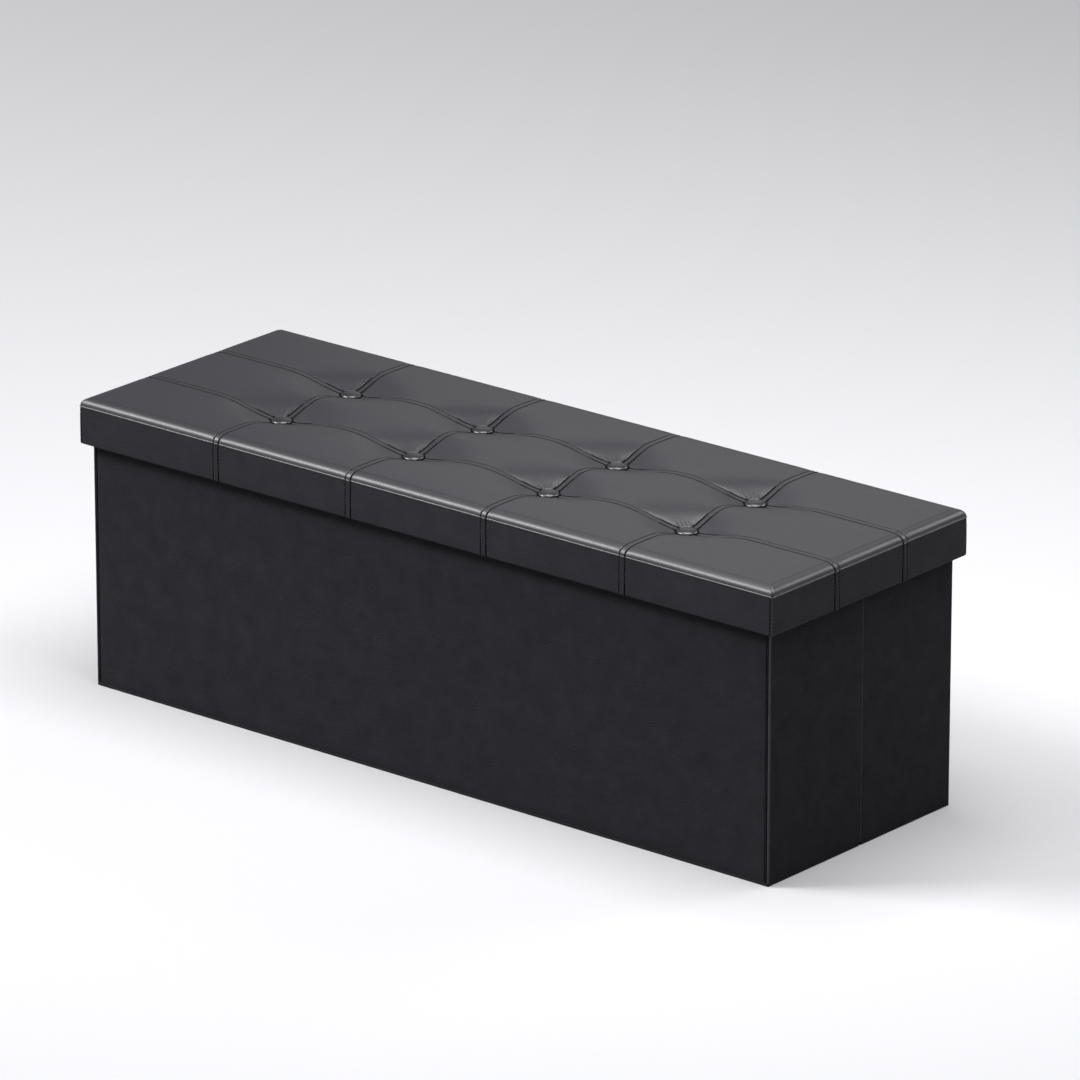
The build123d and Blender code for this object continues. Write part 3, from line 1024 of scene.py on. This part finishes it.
def wrapped_panel(low, high, side, radius, uneven, step, seed):
    """Points and faces of a closed wrapped board that fills the box from low to high."""
    axes = np.array(directions[side], float)
    size = np.abs(axes @ (high - low))
    front = (low + high) / 2 + axes[2] * size[2] / 2
    us, vs = [np.linspace(-s / 2 + radius, s / 2 - radius, max(3, ceil(s / step) + 1))
              for s in size[:2]]
    u, v = np.meshgrid(us, vs)
    fade = smooth((us[-1] - np.abs(u)) / (15 * MM)) * smooth((vs[-1] - np.abs(v)) / (15 * MM))
    face = np.stack([u, v, unevenness(u, v, uneven, seed) * fade], axis=-1)
    rings, _ = carry_round(us, vs, rounded_edge(radius, size[2]), radius)
    points, faces = closed_sheet(face, rings)
    return points @ axes + front, faces


print("walls", list(wall_sides))

# %% [markdown]
# ## Wall panels and their bindings
# Every wall has such a board outside. An end wall's board lies a little deeper, because the skin
# of the corner passes over it. The walls stand on soft bindings, which on the real box are
# pressed flat over the base board when it folds.

# %% Wall panels


def dress_panel(node, side, radius, finish, slot, sink=0.0, uneven=0.25 * MM, seed=1):
    """A wrapped panel in place of a CAD node, its face sunk a little where a skin lies over it."""
    low, high = [np.array(corner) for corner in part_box(node)]
    outward_face = np.array(directions[side][2])
    high, low = high - sink * (outward_face > 0), low + sink * (outward_face < 0)
    points, faces = wrapped_panel(low, high, side, radius, uneven, 12 * MM, seed)
    body = frame["nodes"][node]["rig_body"]
    return show(node + "_wrap", points, faces, finish, slot, body, [node])


skin_depth = 0.5 * MM
for seed, (wall, side) in enumerate(wall_sides.items()):
    dress_panel(f"{wall}_cover", side, 0.9 * MM, wall_leather, "faux_leather",
                sink=skin_depth * (wall in end_halves), seed=seed)
    hem = dress_panel(f"{wall}_hem", side, 1.2 * MM, wall_leather, "faux_leather_binding",
                      uneven=0.0)
    if wall != "back_wall":
        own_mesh(hem)
print("wall panels", len(wall_sides))

# %% [markdown]
# ## Leather that goes round a corner
# The leather of an end wall doesn't stop at the corner. It turns round it and ends in a sewn
# strip on the long wall, and it is what the box folds on: one skin that follows the long wall
# on one side, the end wall on the other, and bends between them. Such a skin, the strip that
# it is sewn to and the ridge at a crease are all upright strips: a line in plan, its copy
# further in, and a rounding at the top and bottom where the outer line sinks to the inner one.

# %% Upright strips


def moved_right(line, distance):
    """A plan line moved to the right of its own direction."""
    step = np.gradient(line, axis=0)
    right = np.column_stack([step[:, 1], -step[:, 0]])
    return line + distance * right / np.linalg.norm(right, axis=1, keepdims=True)


def upright_strip(outer, inner, low, high, reach, wave=None, step=12 * MM):
    """Points and faces of a closed strip between two plan lines, rounded at its two ends."""
    turn = np.linspace(0, np.pi / 2, 5)
    rounding = reach * (1 - np.cos(turn[:-1]))
    middle = np.linspace(low + reach, high - reach, max(3, ceil((high - low) / step)))
    level = np.concatenate([low + rounding, middle, high - rounding[::-1]])
    share = np.concatenate([np.sin(turn[:-1]), np.ones(len(middle)), np.sin(turn[-2::-1])])
    push = np.zeros((len(level), len(outer))) if wave is None else wave(outer, level)
    outward = (outer - inner) / np.linalg.norm(outer - inner, axis=1, keepdims=True)
    face = inner + (outer - inner + outward * push[..., None]) * share[:, None, None]
    back = np.broadcast_to(inner[::-1], face.shape)
    plan = np.concatenate([face, back], axis=1)
    height = np.broadcast_to(level[:, None, None], (*plan.shape[:2], 1))
    points = np.concatenate([plan, height], axis=-1)
    return points, grid_quads(*plan.shape[:2], closed=True).tolist()


print("upright strips: 5 rows to a rounding, then a row every 12 mm")

# %% [markdown]
# ## Skin round each corner
# Each half of an end wall has such a skin. It lies 0.15 mm proud of the wall, leaves the crease
# free, turns round the corner in a small radius and is tucked into the groove of the sewn
# strip. The turn is the part that flexes, so its leather is polished lighter by the folding.

# %% Corner skins
groove_x = body_x - 2 * MM  # the inner one of the two stitched grooves on the long wall
skin_proud = 0.15 * MM
corner_turn = np.radians(np.linspace(0, 90, 9))


def corner_plan():
    """Plan of the right front skin: from the crease, along the end wall, round into the groove."""
    bend_y = body_y - 26 * MM
    along = np.concatenate([[1.4, 2.6, 4.5], np.arange(8, bend_y / MM, 8),
                            np.arange(bend_y / MM, body_y / MM - 2, 1.2)]) * MM
    proud = skin_proud * smooth(along / (6 * MM))
    run = np.column_stack([body_x + proud, -along])
    radius = 1.8 * MM
    centre = np.array([body_x + skin_proud - radius, -body_y - skin_proud + radius])
    bend = centre + radius * np.column_stack([np.cos(corner_turn), -np.sin(corner_turn)])
    tuck = np.array([(groove_x - 0.1 * MM, -body_y), (groove_x - 0.3 * MM, -body_y + 0.6 * MM),
                     (groove_x - 0.3 * MM, -body_y + 1.6 * MM)])
    return np.vstack([run, bend, tuck])


def wall_wave(seed):
    """Slow waves over an end wall that fade out before its crease, corner, top and foot."""
    def wave(outer, level):
        y = np.abs(outer[:, 1])
        fade = smooth((y - 6 * MM) / (15 * MM)) * smooth((body_y - 26 * MM - y) / (15 * MM))
        ends = smooth((level - hem_top) / (20 * MM)) * smooth((wall_top - level) / (20 * MM))
        return unevenness(*np.meshgrid(y, level), 0.22 * MM, seed) * fade * ends[:, None]
    return wave


plan_out = corner_plan()
plan_in = moved_right(plan_out, 0.6 * MM)
for seed, (half, side) in enumerate(end_halves.items()):
    wall = "front_wall" if half.endswith("front") else "back_wall"
    mirror = np.array([1 if side == "right" else -1, 1 if wall == "front_wall" else -1])
    points, faces = upright_strip(plan_out, plan_in, hem_top + 0.1 * MM, wall_top - 2 * MM,
                                  1 * MM, wall_wave(seed + 20))
    skin = show(half + "_skin", points * (*mirror, 1), faces, (wall_leather, fold_leather),
                "faux_leather")
    centre_y = np.array([abs(face.center.y) for face in skin.data.polygons])
    skin.data.polygons.foreach_set(
        "material_index", (centre_y > body_y - 1.75 * MM).astype(np.int32))
    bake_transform(skin)
print("corner skins", len(plan_out), "points round the plan")

# %% [markdown]
# ## Sewn strips beside the corners
# The skin of an end wall is sewn down on the long wall with two rows of stitches. Each row
# draws the strip in along a groove, and the band between them stands up a little.

# %% Sewn strips on the long walls
strip_low, strip_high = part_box("front_right_corner_strip")
strip_x = np.array([-0.15, 0.7, 0.95, 1.15, 1.5, 1.8, 2.1, 2.3, 2.5, 4.0, 5.4]) * MM + strip_low.x
strip_down = np.array([2.2, 2.1, 0.9, 0.15, -0.05, -0.05, 0.15, 0.9, 2.2, 2.2, 2.2]) * MM
strip_face = np.column_stack([strip_x, -body_y + strip_down])
strip_back = np.column_stack([strip_x, np.full(len(strip_x), strip_high.y - 0.3 * MM)])
corner_rows = {"front_wall": [], "back_wall": []}
row_levels = np.linspace(hem_top + 3 * MM, wall_top - 3 * MM, 60)
for sign_x, sign_y in box_corners:  # sign_y is 1 on the front wall here, which faces -Y
    front_or_back = "front" if sign_y > 0 else "back"
    right_or_left = "right" if sign_x > 0 else "left"
    name, wall = f"{front_or_back}_{right_or_left}_corner_strip", front_or_back + "_wall"
    points, faces = upright_strip(strip_face, strip_back, hem_top, wall_top, 0.8 * MM)
    show(name + "_sewn", points * (sign_x, sign_y, 1), faces, wall_leather,
         "faux_leather_binding", wall, [name])
    corner_rows[wall] += [
        upright_row(sign_x * row_x, -sign_y * (body_y - 1.5 * MM), row_levels)
        for row_x in (strip_low.x - 0.05 * MM, strip_low.x + 3.45 * MM)]
for wall, rows in corner_rows.items():
    sewn_rows(wall + "_corner_thread", rows, wall)

# %% [markdown]
# ## Ridges at the middle creases
# An end wall folds at its middle. Between its two boards only the leather and the lining run
# on. The leather stands up there in a low soft ridge, a strip of the lining covers the gap on
# the inside, and both are slack enough to bend as the two halves fold.

# %% Crease ridges
crease_half = 3.2 * MM


def crease_arch(y):
    """A half cosine wave over the width of the crease: 1 at its middle and 0 at its sides."""
    return np.cos(y / crease_half * np.pi / 2)


def crease_pieces(name, outer, inner, high, finish, slot, stands_for=()):
    """A strip at each crease; the right one is baked in place on no body, the left one rides on
    one.
    """
    for side, mirror_x in (("right", 1), ("left", -1)):
        points, faces = upright_strip(outer, inner, hem_top, high, 1 * MM)
        piece = show(f"{side}_crease_{name}", points * (mirror_x, 1, 1), faces, finish, slot,
                     None if side == "right" else "left_rear",
                     [side + node for node in stands_for])
        if side == "right":
            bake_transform(piece)


ridge_y = np.linspace(-3.2, 3.2, 15) * MM
ridge_plan = np.column_stack([body_x - 0.1 * MM + 0.5 * MM * crease_arch(ridge_y) ** 2, -ridge_y])
ridge_back = ridge_plan * (0, 0.5) + (body_x - 10 * MM, 0)
crease_pieces("ridge", ridge_plan, ridge_back, wall_top - 1.5 * MM, skirt_leather,
              "faux_leather_binding", ["_crease_strip"])
print("ridges stand", round((ridge_plan[:, 0].max() - body_x) / MM, 1), "mm proud")

# %% [markdown]
# ## Inside cloth
# The inside is spun-bonded polypropylene: a thin matt cloth of fibres laid at random and welded
# together by a hot roller, which leaves a grid of small pressed dots. It is glued to the boards,
# so it follows them, with slow waves where the glue has let it lift a little.

# %% Lining finish


def spunbond(name, dark, light):
    """Spun-bonded cloth: fibres from stretched noise, and pressed dots 2.5 mm apart."""
    finish, tree, shader, place = new_finish(name)
    fibres = noise(tree, place, 1.5 * MM, 5.0, Distortion=1.5)
    dots = add(tree, "TexVoronoi", {"Vector": place, "Scale": 1 / (2.5 * MM),
                                    "Randomness": 0.0})
    pressed = add(tree, "MapRange", {"Value": dots.outputs["Distance"], "From Min": 0.22,
                                     "From Max": 0.38}, interpolation_type="SMOOTHSTEP")
    height = maths(tree, "ADD", pressed.outputs["Result"], fibres)
    set_inputs(tree, shader, {
        "Base Color": tone_between(tree, fibres, dark, light),
        "Roughness": 0.85,
        "Normal": relief(tree, height, 0.12 * MM),
        "Sheen Weight": 0.15,
    })
    return finish


lining_cloth = spunbond("spunbond_polypropylene", "#232326", "#333337")
for seed, (wall, side) in enumerate(wall_sides.items()):
    dress_panel(f"{wall}_lining", opposite[side], 0.4 * MM, lining_cloth, "lining_cloth",
                uneven=0.45 * MM, seed=seed + 40)
base_cloth = dress_panel("base_wrap", "top", 0.9 * MM, lining_cloth, "lining_cloth",
                         uneven=0.6 * MM, seed=50)
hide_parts("base_sheet")

# A strip of the same cloth closes each crease on the inside.
hinge_y = np.linspace(-3.2, 3.2, 17) * MM
lining_x = -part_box("left_front_lining")[1].x
hinge_out = np.column_stack([lining_x - 0.35 * MM * crease_arch(hinge_y) ** 0.5, hinge_y])
hinge_back = hinge_out * (0, 1) + (lining_x + 0.8 * MM, 0)
crease_pieces("cloth", hinge_out, hinge_back, wall_top - 1 * MM, lining_cloth,
              "lining_cloth")
print("linings", len(wall_sides), "on the walls, 1 round the base and 2 at the creases")

# %% [markdown]
# ## Lining of the lid
# The same cloth lines the lid like a shallow tray: it is glued under the board, turns down
# inside the skirt in a soft corner, and is folded over at the hem. Over each toggle it shows
# a faint flat patch, a little proud of the rest.

# %% Tray of lining cloth
lining_low, lining_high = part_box("lid_lining")
toggle_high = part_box("tie_toggles")[1]
ceiling = lining_high.z - 0.8 * MM
tray_round = 2.2 * MM
tray_x, tray_y = [edge - 0.8 * MM - tray_round for edge in (lining_high.x, lining_high.y)]
tray_us, tray_vs = np.linspace(-tray_x, tray_x, 180), np.linspace(-tray_y, tray_y, 64)
tray_u, tray_v = np.meshgrid(tray_us, tray_vs)  # points of the flat part of the tray
toggle_half = np.array([toggle_high.x - tuft_xs[-1], toggle_high.y - tuft_ys[-1]])
beside = [np.abs(gap_to_nearest(value, lines)) - half for value, lines, half in
          zip((tray_u, tray_v), (tuft_xs, tuft_ys), toggle_half)]
over_toggle = smooth(1 - np.maximum(*beside) / (5 * MM))
inset = np.minimum(tray_x - np.abs(tray_u), tray_y - np.abs(tray_v))
tray_z = ceiling - 0.22 * MM * over_toggle + unevenness(
    tray_u, tray_v, 0.25 * MM, 60) * smooth(inset / (20 * MM)) * (1 - over_toggle)
bend = np.radians(np.linspace(90, 0, 6))
skirt_drop = lining_low.z - ceiling
tray_edge = np.vstack([
    tray_round * np.column_stack([np.cos(bend), np.sin(bend) - 1]),
    np.array([(tray_round, skirt_drop / 2), (tray_round, skirt_drop + 0.3 * MM),
              (tray_round + 0.2 * MM, skirt_drop), (tray_round + 0.6 * MM, skirt_drop),
              (tray_round + 0.8 * MM, skirt_drop + 0.3 * MM),
              (tray_round + 0.8 * MM, lining_high.z - ceiling)]),
])
tray_rings, _ = carry_round(tray_us, tray_vs, tray_edge, tray_round)
tray_rings[..., 2] += ceiling
tray_top = np.stack([tray_u, tray_v, tray_z], axis=-1)
show("lid_lining_cloth", *closed_sheet(tray_top, tray_rings), lining_cloth, "lining_cloth",
     "lid", ["lid_lining"])
print("lid lining ceiling at", round(ceiling / MM, 1), "mm")

# %% [markdown]
# ## Pull ribbon
# The base board is lifted out by a short polyester ribbon, sewn to its cloth with a box of
# stitches at one end. A woven ribbon has fine ribs across it and a firm edge. It is a thin
# closed strip, arched a little so that fingers can get under its free end.

# %% Ribbon
ribbon_low, ribbon_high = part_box("base_ribbon")
ribbon_length, ribbon_half = ribbon_high.x - ribbon_low.x, ribbon_high.y
along, across = np.meshgrid(np.linspace(0, 1, 61), np.linspace(-1, 1, 13), indexing="ij")
end_width = np.sqrt(1 - (1 - np.clip(along * ribbon_length / (9 * MM), 0, 1)) ** 2)
ribbon_x = ribbon_low.x + along * ribbon_length
ribbon_y = across * (ribbon_half - 9 * MM * (1 - end_width))
ribbon_lift = 1.4 * MM * smooth(1 - along / 0.66) ** 1.5 + 0.05 * MM
thickness = 0.6 * MM * (1 - np.abs(across) ** 8) * np.sin(np.pi / 2 * np.clip(
    np.minimum(along, 1 - along) / 0.02, 0, 1))
under = np.stack([ribbon_x, ribbon_y, ribbon_low.z + ribbon_lift], axis=-1)
over = under + np.stack([0 * along, 0 * along, thickness], axis=-1)
ribbon_points = np.concatenate([over, under[:, ::-1]], axis=1)

# Polyester, woven: ribs of filling yarn 0.9 mm apart along it, and warp yarns 0.45 mm apart.
webbing, web_tree, web_shader, web_place = new_finish("polyester_ribbon_woven")
ribs = bands(web_tree, web_place, 0.9 * MM, "X", 0.6)
warp = bands(web_tree, web_place, 0.45 * MM, "Y", 0.3)
set_inputs(web_tree, web_shader, {
    "Base Color": tone_between(web_tree, ribs, "#151517", "#28282c"),
    "Roughness": 0.55,
    "Normal": relief(web_tree, maths(web_tree, "ADD", ribs, warp), 0.12 * MM),
    "Sheen Weight": 0.25,
})
show("pull_ribbon", ribbon_points, grid_quads(*ribbon_points.shape[:2], closed=True).tolist(),
     webbing, "ribbon_webbing", "base_board", ["base_ribbon"])
print("ribbon", round(ribbon_length / MM), "mm long")

# %% [markdown]
# ## Box of stitches
# The sewn end of the ribbon is held by four short rows that make a box, the usual way to fix
# webbing that is pulled on: no single stitch carries the whole load.

# %% Ribbon stitches
box_x = ribbon_high.x - np.array([3, 19]) * MM
box_y, box_z = ribbon_half - 2.5 * MM, ribbon_low.z + 0.35 * MM
box = [(box_x[0], -box_y), (box_x[1], -box_y), (box_x[1], box_y), (box_x[0], box_y)]
ribbon_rows = [(np.array([(*a, box_z), (*b, box_z)]), np.array([(0.0, 0.0, 1.0)] * 2))
               for a, b in zip(box, box[1:] + box[:1])]
sewn_rows("ribbon_thread", ribbon_rows, "base_board")

# %% [markdown]
# ## Boards, twine and toggles
# What the cloth and leather hide keeps its CAD shape: pressed fibreboard, the nylon twines that
# hold the buttons down, and the moulded toggles that they are tied to. Nobody sees them once
# the ottoman is closed, but a lid that is opened up in a repair shows them all.

# %% Finishes of the hidden parts
# Medium-density fibreboard: wood fibres pressed with resin, so a brown with short pale flecks.
fibreboard, board_tree, board_shader, board_place = new_finish("fibreboard_pressed")
flecks = noise(board_tree, board_place, 2 * MM, 6.0, Distortion=2.0)
stains = noise(board_tree, board_place, 60 * MM, 3.0)
board_tone = add(board_tree, "Mix", {
    "Factor": stains, "A": tone_between(board_tree, flecks, "#7d5f42", "#b39470"),
    "B": linear("#94775a")}, data_type="RGBA").outputs["Result"]
set_inputs(board_tree, board_shader, {
    "Base Color": board_tone, "Roughness": 0.8,
    "Normal": relief(board_tree, flecks, 0.1 * MM)})

# Twisted nylon: three strands that show as slanting bands 2 mm apart.
twine, twine_tree, twine_shader, twine_place = new_finish("nylon_twine_twisted")
slant = add(twine_tree, "Mapping", {"Vector": twine_place, "Rotation": (radians(35), 0, 0)})
strands = bands(twine_tree, slant.outputs[0], 2 * MM, "Z")
set_inputs(twine_tree, twine_shader, {
    "Base Color": tone_between(twine_tree, strands, "#17171a", "#2b2b30"), "Roughness": 0.5,
    "Normal": relief(twine_tree, strands, 0.2 * MM)})

# Polypropylene, injection moulded in a spark-eroded tool: black with a fine even matt.
moulded, mould_tree, mould_shader, mould_place = new_finish("polypropylene_moulded")
spark = noise(mould_tree, mould_place, 0.8 * MM, 2.0)
set_inputs(mould_tree, mould_shader, {
    "Base Color": tone_between(mould_tree, spark, "#161618", "#202023"), "Roughness": 0.45,
    "Normal": relief(mould_tree, spark, 0.03 * MM)})

finish_of = {"tie_twines": twine, "tie_toggles": moulded}
for name, node in frame["nodes"].items():
    if not node.hide_render:
        node.data.materials.clear()
        node.data.materials.append(finish_of.get(name, fibreboard))
        print("kept CAD shape:", name)
